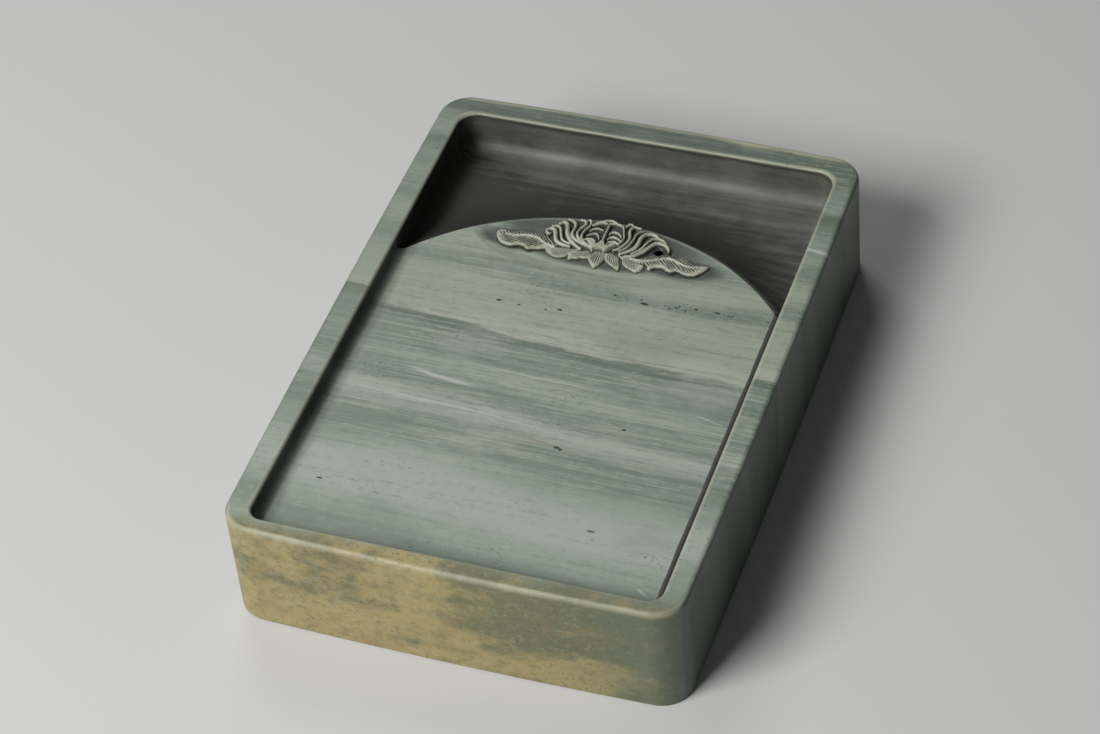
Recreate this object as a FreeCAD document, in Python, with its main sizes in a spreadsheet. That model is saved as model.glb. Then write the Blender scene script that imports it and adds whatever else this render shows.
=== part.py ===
"""Rectangular inkstone: a block of banded green stone with a sunken grinding floor, an ink well behind a
curved crest, and a carved lotus on the bank in front of the crest.

Frame: +Z up, origin at the middle of the flat base, +Y from the grinding end towards the ink well.
Millimetres throughout.
"""

import FreeCAD, Part
import math
import os

import Sketcher
from FreeCAD import Placement, Rotation, Vector

SIZES = {
    # block
    "block_width": 142.0,
    "block_length": 200.0,
    "block_height": 40.0,
    "corner_round": 10.0,
    "side_bow": 0.8,
    "end_bow": 1.2,
    "top_ease": 1.8,
    "base_ease": 1.0,
    # rim, measured on the flat top
    "rim_left": 8.6,
    "rim_right": 8.0,
    "rim_front": 6.4,
    "rim_back": 9.2,
    "rim_ease": 1.0,
    "front_corner": 4.2,
    "back_corner": 6.0,
    # grinding floor
    "basin_depth": 6.0,
    "basin_cove": 3.0,
    # ink well
    "well_depth": 14.0,
    "well_cove": 5.6,
    "crest_reach": 57.9,
    "crest_sweep": 80.0,
    "slope_run": 21.0,
    # sunk field that the lotus stands in
    "field_length": 77.0,
    "field_width": 23.6,
    "field_slope": 4.5,
    "field_depth": 0.4,
    "field_middle": 46.8,
    # carved lotus
    "lotus_heart": 44.1,
    "pod_width": 9.0,
    "pod_height": 2.2,
    "petal_pairs": 5,
    "petal_length": 14.4,
    "petal_width": 4.6,
    "petal_height": 2.9,
    "petal_root": 1.0,
    "petal_gain": 0.06,
    "petal_fall": 0.18,
    "leaflet_pairs": 2,
    "leaflet_length": 8.2,
    "leaflet_width": 5.2,
    "leaflet_height": 1.7,
    "leaflet_gain": 0.14,
    "leaflet_fall": 0.12,
    "leaf_length": 31.0,
    "leaf_width": 7.6,
    "leaf_height": 2.0,
    "leaf_root": 4.0,
    "leaf_lift": 3.0,
}

# Headings of the lotus's blades, in degrees
FAN_TURN = 72.0
LEAFLET_TURN = 30.0
LEAF_TURN = 3.0

FIELD_LEVEL = "sizes.block_height - sizes.basin_depth - sizes.field_depth"
LEVEL_TOLERANCE = 1e-4

doc = FreeCAD.newDocument("inkstone")


def make_sheet():
    """The driving dimensions, one aliased cell each."""
    sheet = doc.addObject("Spreadsheet::Sheet", "sizes")
    for row, (alias, value) in enumerate(SIZES.items(), start=1):
        sheet.set(f"A{row}", alias)
        sheet.set(f"B{row}", str(value))
        sheet.setAlias(f"B{row}", alias)
    doc.recompute()
    return sheet


sizes = make_sheet()


def origin_plane(body, role):
    return next(f for f in body.Origin.OriginFeatures if f.Role == role)


def attach(sketch, body, role):
    sketch.AttachmentSupport = [(origin_plane(body, role), "")]
    sketch.MapMode = "FlatFace"


def arc(centre, radius, start, end):
    circle = Part.Circle(Vector(centre[0], centre[1], 0), Vector(0, 0, 1), radius)
    return Part.ArcOfCircle(circle, start, end)


def dimension(sketch, name, expression, kind, *where):
    """Adds a named dimension and binds it to the sheet."""
    start_value = where[-1]
    index = sketch.addConstraint(Sketcher.Constraint(kind, *where[:-1], start_value))
    sketch.renameConstraint(index, name)
    sketch.setExpression(f"Constraints.{name}", expression)


def close_loop(sketch, count):
    """Joins each curve's end to the next curve's start, tangent to it."""
    for i in range(count):
        sketch.addConstraint(Sketcher.Constraint("Tangent", i, 2, (i + 1) % count, 1))


def draw_block_plan(sketch):
    """Rounded rectangle whose four sides are very flat outward arcs."""
    half_width = sizes.block_width / 2
    half_length = sizes.block_length / 2
    corner = sizes.corner_round
    side_radius = ((half_length - sizes.end_bow) ** 2 + sizes.side_bow**2) / (2 * sizes.side_bow)
    end_radius = ((half_width - sizes.side_bow) ** 2 + sizes.end_bow**2) / (2 * sizes.end_bow)
    side_turn = math.asin((half_length - corner) / side_radius)
    end_turn = math.asin((half_width - corner) / end_radius)
    corner_at = (half_width - corner - sizes.side_bow, half_length - corner - sizes.end_bow)
    quarter = math.pi / 2
    sides = [
        ((half_width - side_radius, 0), side_radius, side_turn, 0),
        ((0, half_length - end_radius), end_radius, end_turn, 1),
        ((side_radius - half_width, 0), side_radius, side_turn, 2),
        ((0, end_radius - half_length), end_radius, end_turn, 3),
    ]
    corner_signs = [(1, 1), (-1, 1), (-1, -1), (1, -1)]
    for (centre, radius, turn, step), (sx, sy) in zip(sides, corner_signs):
        facing = step * quarter
        sketch.addGeometry(arc(centre, radius, facing - turn, facing + turn), False)
        at = (sx * corner_at[0], sy * corner_at[1])
        sketch.addGeometry(arc(at, corner, facing + turn, facing + quarter - turn), False)
    close_loop(sketch, 8)
    right, back, left, front = 0, 2, 4, 6
    for side, axis in ((right, -1), (left, -1), (back, -2), (front, -2)):
        sketch.addConstraint(Sketcher.Constraint("PointOnObject", side, 3, axis))
    sketch.addConstraint(Sketcher.Constraint("Equal", right, left))
    sketch.addConstraint(Sketcher.Constraint("Equal", back, front))
    for corner_curve in (3, 5, 7):
        sketch.addConstraint(Sketcher.Constraint("Equal", 1, corner_curve))
    side_rule = "((sizes.block_length/2 - sizes.end_bow)^2 + sizes.side_bow^2)/(2*sizes.side_bow)"
    end_rule = "((sizes.block_width/2 - sizes.side_bow)^2 + sizes.end_bow^2)/(2*sizes.end_bow)"
    side_shift = side_radius - half_width
    end_shift = end_radius - half_length
    width_rule = f"{side_rule} - sizes.block_width/2"
    length_rule = f"{end_rule} - sizes.block_length/2"
    dimension(sketch, "side_radius", side_rule, "Radius", right, side_radius)
    dimension(sketch, "end_radius", end_rule, "Radius", back, end_radius)
    dimension(sketch, "corner", "sizes.corner_round", "Radius", 1, corner)
    dimension(sketch, "right_shift", width_rule, "DistanceX", right, 3, -1, 1, side_shift)
    dimension(sketch, "left_shift", width_rule, "DistanceX", -1, 1, left, 3, side_shift)
    dimension(sketch, "back_shift", length_rule, "DistanceY", back, 3, -1, 1, end_shift)
    dimension(sketch, "front_shift", length_rule, "DistanceY", -1, 1, front, 3, end_shift)


def draw_basin_plan(sketch):
    """Rounded rectangle inside the rim, whose four rims have their own widths."""
    x0 = sizes.rim_left - sizes.block_width / 2
    x1 = sizes.block_width / 2 - sizes.rim_right
    y0 = sizes.rim_front - sizes.block_length / 2
    y1 = sizes.block_length / 2 - sizes.rim_back
    front_corner = sizes.front_corner
    back_corner = sizes.back_corner
    quarter = math.pi / 2
    runs = [
        ((x1, y0 + front_corner), (x1, y1 - back_corner), (x1 - back_corner, y1 - back_corner)),
        ((x1 - back_corner, y1), (x0 + back_corner, y1), (x0 + back_corner, y1 - back_corner)),
        ((x0, y1 - back_corner), (x0, y0 + front_corner), (x0 + front_corner, y0 + front_corner)),
        ((x0 + front_corner, y0), (x1 - front_corner, y0), (x1 - front_corner, y0 + front_corner)),
    ]
    for step, (start, end, centre) in enumerate(runs):
        corner = back_corner if step < 2 else front_corner
        sketch.addGeometry(Part.LineSegment(Vector(*start, 0), Vector(*end, 0)), False)
        sketch.addGeometry(arc(centre, corner, step * quarter, (step + 1) * quarter), False)
    close_loop(sketch, 8)
    right, back, left, front = 0, 2, 4, 6
    for side in (right, left):
        sketch.addConstraint(Sketcher.Constraint("Vertical", side))
    for end in (back, front):
        sketch.addConstraint(Sketcher.Constraint("Horizontal", end))
    sketch.addConstraint(Sketcher.Constraint("Equal", 1, 3))
    sketch.addConstraint(Sketcher.Constraint("Equal", 5, 7))
    dimension(sketch, "back_corner", "sizes.back_corner", "Radius", 1, back_corner)
    dimension(sketch, "front_corner", "sizes.front_corner", "Radius", 5, front_corner)
    reach = {
        "right": ("sizes.block_width/2 - sizes.rim_right", "DistanceX", -1, 1, right, 1, x1),
        "left": ("sizes.block_width/2 - sizes.rim_left", "DistanceX", left, 1, -1, 1, -x0),
        "back": ("sizes.block_length/2 - sizes.rim_back", "DistanceY", -1, 1, back, 1, y1),
        "front": ("sizes.block_length/2 - sizes.rim_front", "DistanceY", front, 1, -1, 1, -y0),
    }
    for name, (rule, kind, *where) in reach.items():
        dimension(sketch, name, rule, kind, *where)


def edges_at(shape, height):
    """Names of the edges that lie flat at one height."""
    found = []
    for number, edge in enumerate(shape.Edges, start=1):
        box = edge.BoundBox
        if abs(box.ZMin - height) < LEVEL_TOLERANCE and abs(box.ZMax - height) < LEVEL_TOLERANCE:
            found.append(f"Edge{number}")
    return found


def make_hollow_block():
    """The squared block with its sunken grinding floor, before the well is cut."""
    body = doc.addObject("PartDesign::Body", "hollow_block")
    plan = body.newObject("Sketcher::SketchObject", "block_plan")
    attach(plan, body, "XY_Plane")
    draw_block_plan(plan)
    pad = body.newObject("PartDesign::Pad", "block")
    pad.Profile = plan
    pad.setExpression("Length", "sizes.block_height")
    doc.recompute()

    basin_plan = body.newObject("Sketcher::SketchObject", "basin_plan")
    attach(basin_plan, body, "XY_Plane")
    basin_plan.setExpression("AttachmentOffset.Base.z", "sizes.block_height")
    draw_basin_plan(basin_plan)
    basin = body.newObject("PartDesign::Pocket", "basin")
    basin.Profile = basin_plan
    basin.setExpression("Length", "sizes.basin_depth")
    doc.recompute()

    cove = body.newObject("PartDesign::Fillet", "basin_cove")
    cove.Base = (basin, edges_at(basin.Shape, sizes.block_height - sizes.basin_depth))
    cove.setExpression("Radius", "sizes.basin_cove")
    doc.recompute()

    base_ease = body.newObject("PartDesign::Fillet", "base_ease")
    base_ease.Base = (cove, edges_at(cove.Shape, 0.0))
    base_ease.setExpression("Radius", "sizes.base_ease")
    doc.recompute()

    inside = [e for e in edges_at(base_ease.Shape, sizes.block_height) if is_inner(base_ease.Shape, e)]
    rim_ease = body.newObject("PartDesign::Fillet", "rim_ease")
    rim_ease.Base = (base_ease, inside)
    rim_ease.setExpression("Radius", "sizes.rim_ease")
    doc.recompute()

    outside = [e for e in edges_at(rim_ease.Shape, sizes.block_height) if not is_inner(rim_ease.Shape, e)]
    top_ease = body.newObject("PartDesign::Fillet", "top_ease")
    top_ease.Base = (rim_ease, outside)
    top_ease.setExpression("Radius", "sizes.top_ease")
    doc.recompute()
    return body


def is_inner(shape, edge_name):
    """Whether an edge of the rim lies on the basin's side of it."""
    edge = shape.getElement(edge_name)
    middle = edge.valueAt((edge.FirstParameter + edge.LastParameter) / 2)
    margin = min(sizes.block_width / 2 - abs(middle.x), sizes.block_length / 2 - abs(middle.y))
    return margin > sizes.rim_front - LEVEL_TOLERANCE


def make_well_tool():
    """What the ink well removes: the basin's outline, down to the well's floor, behind the crest.
    Its top stays below the rim's easing."""
    plan = doc.addObject("Sketcher::SketchObject", "well_plan")
    plan.setExpression("Placement.Base.z", "sizes.block_height - sizes.well_depth")
    draw_basin_plan(plan)
    prism = doc.addObject("Part::Extrusion", "well_prism")
    prism.Base = plan
    prism.DirMode = "Normal"
    prism.Solid = True
    prism.setExpression("LengthFwd", "sizes.well_depth - sizes.basin_depth/4")
    doc.recompute()
    rounded = doc.addObject("Part::Fillet", "well_cove")
    rounded.Base = prism
    floor_edges = edges_at(prism.Shape, sizes.block_height - sizes.well_depth)
    numbers = [int(name.removeprefix("Edge")) for name in floor_edges]
    rounded.Edges = [(number, sizes.well_cove, sizes.well_cove) for number in numbers]

    section = doc.addObject("Sketcher::SketchObject", "crest_section")
    section.Placement = Placement(
        Vector(0, sizes.crest_reach - sizes.crest_sweep, 0), Rotation(Vector(1, 1, 1), 120)
    )
    section.setExpression("Placement.Base.y", "sizes.crest_reach - sizes.crest_sweep")
    draw_crest_section(section)
    ring = doc.addObject("Part::Revolution", "crest_ring")
    ring.Source = section
    ring.Axis = Vector(0, 0, 1)
    ring.Base = Vector(0, sizes.crest_reach - sizes.crest_sweep, 0)
    ring.setExpression("Base.y", "sizes.crest_reach - sizes.crest_sweep")
    ring.Angle = 180
    ring.Symmetric = True
    ring.Solid = True

    tool = doc.addObject("Part::Common", "well_tool")
    tool.Base = rounded
    tool.Tool = ring
    doc.recompute()
    return tool


def draw_crest_section(sketch):
    """Half section of the space behind the crest: local x is the distance from the sweep's centre,
    local y the height. The slope is an arc that falls from the crest and runs out level."""
    crest = sizes.crest_sweep
    bank = sizes.block_height - sizes.basin_depth
    floor = sizes.block_height - sizes.well_depth
    drop = bank - floor
    run = sizes.slope_run
    slope_radius = (run**2 + drop**2) / (2 * drop)
    reach = crest + sizes.block_length
    top = sizes.block_height
    start_angle = math.pi + math.acos(run / slope_radius)
    corners = [(crest + run, floor), (reach, floor), (reach, top), (crest, top), (crest, bank)]
    slope = arc((crest + run, floor + slope_radius), slope_radius, start_angle, 1.5 * math.pi)
    sketch.addGeometry(slope, False)
    for (xa, ya), (xb, yb) in zip(corners, corners[1:]):
        sketch.addGeometry(Part.LineSegment(Vector(xa, ya, 0), Vector(xb, yb, 0)), False)
    sketch.addConstraint(Sketcher.Constraint("Tangent", 0, 2, 1, 1))
    for i in (1, 2, 3):
        sketch.addConstraint(Sketcher.Constraint("Coincident", i, 2, i + 1, 1))
    sketch.addConstraint(Sketcher.Constraint("Coincident", 4, 2, 0, 1))
    for level in (1, 3):
        sketch.addConstraint(Sketcher.Constraint("Horizontal", level))
    for upright in (2, 4):
        sketch.addConstraint(Sketcher.Constraint("Vertical", upright))
    bank_rule = "sizes.block_height - sizes.basin_depth"
    floor_rule = "sizes.block_height - sizes.well_depth"
    reach_rule = "sizes.crest_sweep + sizes.block_length"
    run_rule = "sizes.crest_sweep + sizes.slope_run"
    dimension(sketch, "crest", "sizes.crest_sweep", "DistanceX", -1, 1, 4, 2, crest)
    dimension(sketch, "bank", bank_rule, "DistanceY", -1, 1, 4, 2, bank)
    dimension(sketch, "floor", floor_rule, "DistanceY", -1, 1, 1, 1, floor)
    dimension(sketch, "run_out", run_rule, "DistanceX", -1, 1, 1, 1, crest + run)
    dimension(sketch, "reach", reach_rule, "DistanceX", -1, 1, 2, 1, reach)
    dimension(sketch, "top", "sizes.block_height", "DistanceY", -1, 1, 3, 1, top)


def make_field_tool():
    """The shallow oval field with sloping sides that is sunk into the bank round the lotus."""
    rings = []
    for name, reach, level in (("field_floor", 0, "-"), ("field_mouth", 2, "+")):
        ring = doc.addObject("Part::Ellipse", name)
        ring.setExpression("MajorRadius", f"sizes.field_length/2 + {reach}*sizes.field_slope")
        ring.setExpression("MinorRadius", f"sizes.field_width/2 + {reach}*sizes.field_slope")
        ring.setExpression("Placement.Base.y", "sizes.field_middle")
        bank = "sizes.block_height - sizes.basin_depth"
        ring.setExpression("Placement.Base.z", f"{bank} {level} sizes.field_depth")
        rings.append(ring)
    tool = doc.addObject("Part::Loft", "field_tool")
    tool.Sections = rings
    tool.Solid = True
    tool.Ruled = True
    doc.recompute()
    return tool


def make_stone():
    """The finished stone: the hollow block less the well and the field round the lotus."""
    well_cut = doc.addObject("Part::Cut", "welled_block")
    well_cut.Base = make_hollow_block()
    well_cut.Tool = make_well_tool()
    stone = doc.addObject("Part::Cut", "stone_block")
    stone.Base = well_cut
    stone.Tool = make_field_tool()
    stone.Refine = True
    stone.Label = "stone_block"
    doc.recompute()
    return stone


def blade(name, length, width, height, root, heading):
    """A pointed petal or leaf: two equal arcs from root to tip, extruded up from the bank.
    Each size is a rule on the sheet; root is (x, y) and heading is in degrees."""
    half_length, half_width = evaluate(f"({length})/2"), evaluate(f"({width})/2")
    radius = (half_length**2 + half_width**2) / (2 * half_width)
    turn = math.asin(half_length / radius)
    plan = doc.addObject("Sketcher::SketchObject", f"{name}_plan")
    side = math.pi / 2
    across = radius - half_width
    plan.addGeometry(arc((half_length, -across), radius, side - turn, side + turn), False)
    plan.addGeometry(arc((half_length, across), radius, 3 * side - turn, 3 * side + turn), False)
    plan.addConstraint(Sketcher.Constraint("Coincident", 0, 2, 1, 1))
    plan.addConstraint(Sketcher.Constraint("Coincident", 0, 1, 1, 2))
    plan.addConstraint(Sketcher.Constraint("Equal", 0, 1))
    plan.addConstraint(Sketcher.Constraint("Coincident", 1, 1, -1, 1))
    plan.addConstraint(Sketcher.Constraint("PointOnObject", 1, 2, -1))
    radius_rule = f"((({length})/2)^2 + (({width})/2)^2)/({width})"
    dimension(plan, "length", length, "DistanceX", -1, 1, 1, 2, 2 * half_length)
    dimension(plan, "radius", radius_rule, "Radius", 0, radius)
    plan.Placement = Placement(Vector(*root, 0), Rotation(Vector(0, 0, 1), heading))
    plan.setExpression("Placement.Base.z", FIELD_LEVEL)
    solid = doc.addObject("Part::Extrusion", name)
    solid.Base = plan
    solid.DirMode = "Normal"
    solid.Solid = True
    solid.setExpression("LengthFwd", height)
    return solid


def evaluate(rule):
    """The number that a rule on the sheet gives."""
    value = sizes.evalExpression(rule.replace("sizes.", ""))
    return float(getattr(value, "Value", value))


def make_lotus():
    """The carved lotus: a fan of petals over a seed pod, leaflets below it, a long leaf each side."""
    heart = (0.0, sizes.lotus_heart)
    petal_root = (0.0, sizes.lotus_heart - sizes.petal_root)
    pieces = []
    pod = doc.addObject("Part::Cylinder", "pod")
    pod.setExpression("Radius", "sizes.pod_width/2")
    pod.setExpression("Height", "sizes.pod_height")
    pod.Placement = Placement(Vector(*heart, 0), Rotation())
    pod.setExpression("Placement.Base.z", FIELD_LEVEL)
    pieces.append(pod)
    pairs = int(sizes.petal_pairs)
    for i in range(-pairs, pairs + 1):
        petal_length = f"sizes.petal_length*(1 + sizes.petal_gain*{abs(i)})"
        petal_height = f"sizes.petal_height - sizes.petal_fall*{abs(i)}"
        heading = 90 - FAN_TURN * i / pairs
        name = f"petal_{i + pairs + 1}"
        pieces.append(blade(name, petal_length, "sizes.petal_width", petal_height, petal_root, heading))
    leaflet_pairs = int(sizes.leaflet_pairs)
    for i in range(-leaflet_pairs, leaflet_pairs + 1):
        length = f"sizes.leaflet_length*(1 + sizes.leaflet_gain*{abs(i)})"
        height = f"sizes.leaflet_height - sizes.leaflet_fall*{abs(i)}"
        heading = LEAFLET_TURN * i - 90
        name = f"leaflet_{i + leaflet_pairs + 1}"
        pieces.append(blade(name, length, "sizes.leaflet_width", height, heart, heading))
    leaf = ("sizes.leaf_length", "sizes.leaf_width", "sizes.leaf_height")
    leaf_y = sizes.lotus_heart - sizes.leaf_lift
    pieces.append(blade("right_leaf", *leaf, (sizes.leaf_root, leaf_y), LEAF_TURN))
    pieces.append(blade("left_leaf", *leaf, (-sizes.leaf_root, leaf_y), 180 - LEAF_TURN))
    doc.recompute()
    lotus = doc.addObject("Part::MultiFuse", "carved_lotus")
    lotus.Shapes = pieces
    lotus.Refine = True
    lotus.Label = "carved_lotus"
    doc.recompute()
    return lotus


def check(parts):
    """Stops if anything in the document failed or a part isn't one valid solid."""
    for thing in doc.Objects:
        if "Invalid" in thing.State or "Error" in thing.State:
            raise RuntimeError(f"{thing.Label} failed: {thing.State}")
    for part in parts:
        shape = part.Shape
        if shape.isNull() or not shape.isValid() or len(shape.Solids) != 1:
            raise RuntimeError(f"{part.Label} isn't one valid solid")
        box = shape.BoundBox
        print(
            f"{part.Label}: {box.XLength:.2f} x {box.YLength:.2f} x {box.ZLength:.2f} mm, "
            f"{shape.Volume / 1000:.1f} cm3, z {box.ZMin:.2f} to {box.ZMax:.2f}"
        )


parts = [make_stone(), make_lotus()]
check(parts)
overlap = parts[0].Shape.common(parts[1].Shape).Volume
print(f"stone and lotus share {overlap:.4f} mm3")
os.makedirs("parts", exist_ok=True)
for part in parts:
    part.Shape.exportStep(f"parts/{part.Label}.step")
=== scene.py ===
"""Inkstone: the finish of the stone block, the lotus carved on its bank, and the studio they stand in.

Laid out as an add-on and run as a script. Lengths are metres, in the CAD model's frame: +Z up, +Y from
the grinding end to the ink well, origin in the middle of the underside.
"""

import math
from typing import NamedTuple

import bmesh
import bpy
import numpy as np
from bpy.props import FloatProperty, FloatVectorProperty, PointerProperty
from mathutils import Matrix, Vector


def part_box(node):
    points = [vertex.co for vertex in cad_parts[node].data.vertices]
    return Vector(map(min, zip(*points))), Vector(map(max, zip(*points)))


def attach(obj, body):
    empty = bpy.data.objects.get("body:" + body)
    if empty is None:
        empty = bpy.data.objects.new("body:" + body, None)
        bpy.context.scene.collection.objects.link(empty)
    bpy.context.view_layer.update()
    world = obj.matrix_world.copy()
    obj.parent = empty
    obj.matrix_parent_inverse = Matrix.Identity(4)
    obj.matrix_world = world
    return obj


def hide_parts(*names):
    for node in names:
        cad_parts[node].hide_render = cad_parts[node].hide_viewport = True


bl_info = {
    "name": "Carved inkstone",
    "version": (1, 0, 0),
    "blender": (4, 5, 0),
    "location": "View3D > Sidebar > Inkstone",
    "description": "Finishes a banded green inkstone and carves the lotus on its bank",
    "category": "Object",
}

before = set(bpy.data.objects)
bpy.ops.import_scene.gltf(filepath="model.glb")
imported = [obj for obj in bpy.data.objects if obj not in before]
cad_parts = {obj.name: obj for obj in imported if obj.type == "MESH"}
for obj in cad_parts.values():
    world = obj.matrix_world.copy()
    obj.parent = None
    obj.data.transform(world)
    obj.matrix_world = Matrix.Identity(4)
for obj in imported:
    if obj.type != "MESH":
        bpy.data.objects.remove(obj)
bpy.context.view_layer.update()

MM = 0.001
STONE_IOR = 1.5
BLOCK = "stone_block"
LOTUS = "carved_lotus"
BLOCK_LOW, BLOCK_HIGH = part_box(BLOCK)
FIELD_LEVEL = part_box(LOTUS)[0].z  # floor of the shallow field that the lotus stands in

# The basin's plan and the rim's edges, which the ink and the wear follow
BANK_LEVEL = BLOCK_HIGH.z - 6 * MM
WALL_LEFT = BLOCK_LOW.x + 8.6 * MM
WALL_RIGHT = BLOCK_HIGH.x - 8.0 * MM
WALL_FRONT = BLOCK_LOW.y + 6.4 * MM
WALL_BACK = BLOCK_HIGH.y - 9.2 * MM
BASIN_CORNER = 5 * MM
END_BOW = 1.2 * MM
CREST_SWEEP = 80 * MM
CREST_CENTRE = -22.1 * MM

# How the beds lie: their slant across the block, and how far they bend and ripple
BED_SLANT = 0.045
BED_BEND = 16 * MM
BED_RIPPLE = 4.5 * MM
STREAK_SOFTNESS = 0.26
VEIN_WANDER = 3.0 * MM
SKIN_MIDDLE = 20 * MM
PIT_ROW = 26.3 * MM
PIT_FLATNESS = (1.0, 1.7, 1.7)

CAMERA_TARGET = (-4.7 * MM, 4.9 * MM, 20 * MM)
SENSOR_WIDTH = 36.0
AIR_COLOUR = (0.95, 0.97, 1.0, 1.0)


class Grain(NamedTuple):
    """One noise pattern: how often it repeats per metre along x, y and z, its shift and its character."""

    scale: tuple
    shift: tuple = (0, 0, 0)
    detail: float = 4.0
    roughness: float = 0.6
    distortion: float = 0.0


def even(scale):
    """The same scale along x, y and z."""
    return (scale, scale, scale)


GRAINS = {
    # beds
    "slow_bend": Grain((13, 20, 12), detail=2.0, roughness=0.5),
    "ripple": Grain((45, 110, 60), (3, 1, 2), roughness=0.62),
    "broad_streaks": Grain((12, 260, 60), distortion=0.1),
    "streaks": Grain((20, 800, 160), (1, 2, 3), roughness=0.62, distortion=0.1),
    "fine_streaks": Grain((90, 2400, 500), detail=2.0),
    "mottle": Grain(even(420), roughness=0.7),
    "drift": Grain((26, 42, 30), (7, 0, 0)),
    # front skin
    "skin_clouds": Grain((24, 24, 42), (2.3, 0, 1), detail=3.0, roughness=0.5, distortion=0.4),
    "skin_wash": Grain((110, 110, 170), detail=5.0, roughness=0.68),
    "skin_rust": Grain((60, 60, 90), (5, 0, 0), roughness=0.65),
    "skin_mottle": Grain((340, 340, 500), roughness=0.7),
    "skin_specks": Grain(even(1300), detail=3.0),
    # ink and pits
    "smudge": Grain(even(60)),
    "brush_marks": Grain((24, 520, 260), detail=5.0, roughness=0.66),
    "scrubbed_patches": Grain((22, 45, 45), (4, 4, 0)),
    "pit_crowds": Grain((26, 75, 40), detail=3.0, roughness=0.55),
    "ragged_edge": Grain(even(900), detail=3.0, roughness=0.65),
    # surface
    "wobble": Grain(even(55), roughness=0.65),
    "grain": Grain(even(900), roughness=0.65),
    "hand_worked": Grain((16, 24, 24), detail=2.0, roughness=0.5),
    "scratches": Grain((50, 1500, 700), detail=3.0),
    "carved_patches": Grain(even(190), detail=3.0),
    "floor_fibres": Grain(even(900), detail=3.0),
}

# The beds from the front to the back of the block, as shares of its length
BEDS = (
    (0.00, "olive"),
    (0.06, "dark"),
    (0.10, "grey"),
    # From 0.145 to 0.19 the pale bed is partly the stone's own colour and partly a painted sheen.
    (0.145, "pale"),
    (0.19, "pale"),
    (0.23, "grey"),
    (0.262, "dark"),
    (0.30, "dark"),
    (0.342, "pale"),
    (0.37, "dark"),
    (0.41, "grey"),
    (0.445, "dark"),
    (0.475, "dark"),
    (0.490, "deep_green_and_shade"),
    (0.499, "deep_green_and_shade"),
    (0.503, "cream"),
    (0.518, "cream"),
    (0.54, "olive"),
    (0.61, "olive"),
    (0.635, "dark"),
    (0.69, "olive"),
    (0.735, "dark"),
    (0.81, "grey"),
    (0.84, "dark"),
    (0.868, "deep_green_and_shade"),
    (0.895, "grey"),
    (0.93, "dark"),
    (0.955, "deep_green_and_shade"),
    (1.00, "deep_green_and_shade"),
)
# Thin veins and scratches in plan, in millimetres: two ends, half width, strength, colour
VEINS = (
    ((-43, -18.6), (-14, -22.2), 1.3, 0.7, "vein"),
    ((-62, -30.0), (12, -32.5), 0.7, 0.45, "vein"),
    ((48.5, -16.0), (60, -19.0), 0.3, 0.7, "vein"),
    ((60, 55.5), (74, 54.0), 0.8, 0.8, "vein"),
    ((-30, -12.4), (34, -14.6), 0.5, 0.4, "vein"),
    ((53.5, -84.9), (58, -88.5), 0.5, 0.8, "vein"),
    ((-11.6, -47.9), (-11.9, -53.5), 0.35, 0.6, "rust"),
    ((-2, -36.8), (19, -40.4), 0.9, 0.4, "rust"),
)
# The larger dark pits in plan, in millimetres: centre, half length, half width
PITS = (
    ((19.9, 25.3), 1.2, 0.42),
    ((30.2, 26.1), 0.6, 0.3),
    ((36.3, 26.9), 0.48, 0.3),
    ((42.9, 27.0), 0.72, 0.36),
    ((10.2, 26.7), 0.42, 0.24),
    ((-4.3, 16.2), 0.6, 0.36),
    ((-8.6, 15.3), 0.36, 0.24),
    ((-17.3, 15.2), 0.42, 0.3),
    ((-24.0, 15.6), 0.6, 0.3),
    ((13.6, -39.4), 0.72, 0.42),
    ((15.0, -39.9), 0.42, 0.36),
    ((30.7, -27.5), 0.54, 0.36),
    ((34.1, -68.4), 1.08, 0.24),
    ((-50.0, -69.0), 0.72, 0.24),
)
# Ink soaked in round the lotus, with painted shade round the carving's foot, in millimetres: centre, half
# length, half width, soft edge, strength
STAINS_AND_SHADE = (
    ((-1, 50.5), 26, 8.6, 0.5, 0.8),
    ((-25.5, 43.6), 11.0, 3.6, 0.6, 0.85),
    ((24.5, 43.4), 11.0, 3.6, 0.6, 0.85),
    ((-1, 41.6), 16.0, 3.8, 0.6, 0.85),
)


# ---------------------------------------------------------------- shader maths


class Signal:
    """One value flowing through a material. Arithmetic on it adds Math nodes."""

    def __init__(self, paint, socket):
        self.paint = paint
        self.socket = socket

    def _maths(self, operation, *values):
        return self.paint.node("ShaderNodeMath", {"operation": operation}, dict(enumerate(values)))

    def __add__(self, other):
        return self._maths("ADD", self, other)

    def __radd__(self, other):
        return self._maths("ADD", other, self)

    def __sub__(self, other):
        return self._maths("SUBTRACT", self, other)

    def __rsub__(self, other):
        return self._maths("SUBTRACT", other, self)

    def __mul__(self, other):
        return self._maths("MULTIPLY", self, other)

    def __rmul__(self, other):
        return self._maths("MULTIPLY", other, self)

    def __truediv__(self, other):
        return self._maths("DIVIDE", self, other)

    def __rtruediv__(self, other):
        return self._maths("DIVIDE", other, self)

    def __abs__(self):
        return self._maths("ABSOLUTE", self)

    def power(self, exponent):
        return self._maths("POWER", self, exponent)

    def least(self, other):
        return self._maths("MINIMUM", self, other)

    def most(self, other):
        return self._maths("MAXIMUM", self, other)

    def fade(self, start, end):
        """0 at start, 1 at end, with a soft change between them."""
        return self.paint.node(
            "ShaderNodeMapRange",
            {"interpolation_type": "SMOOTHSTEP"},
            {"Value": self, "From Min": start, "From Max": end, "To Min": 0.0, "To Max": 1.0},
        )


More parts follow.
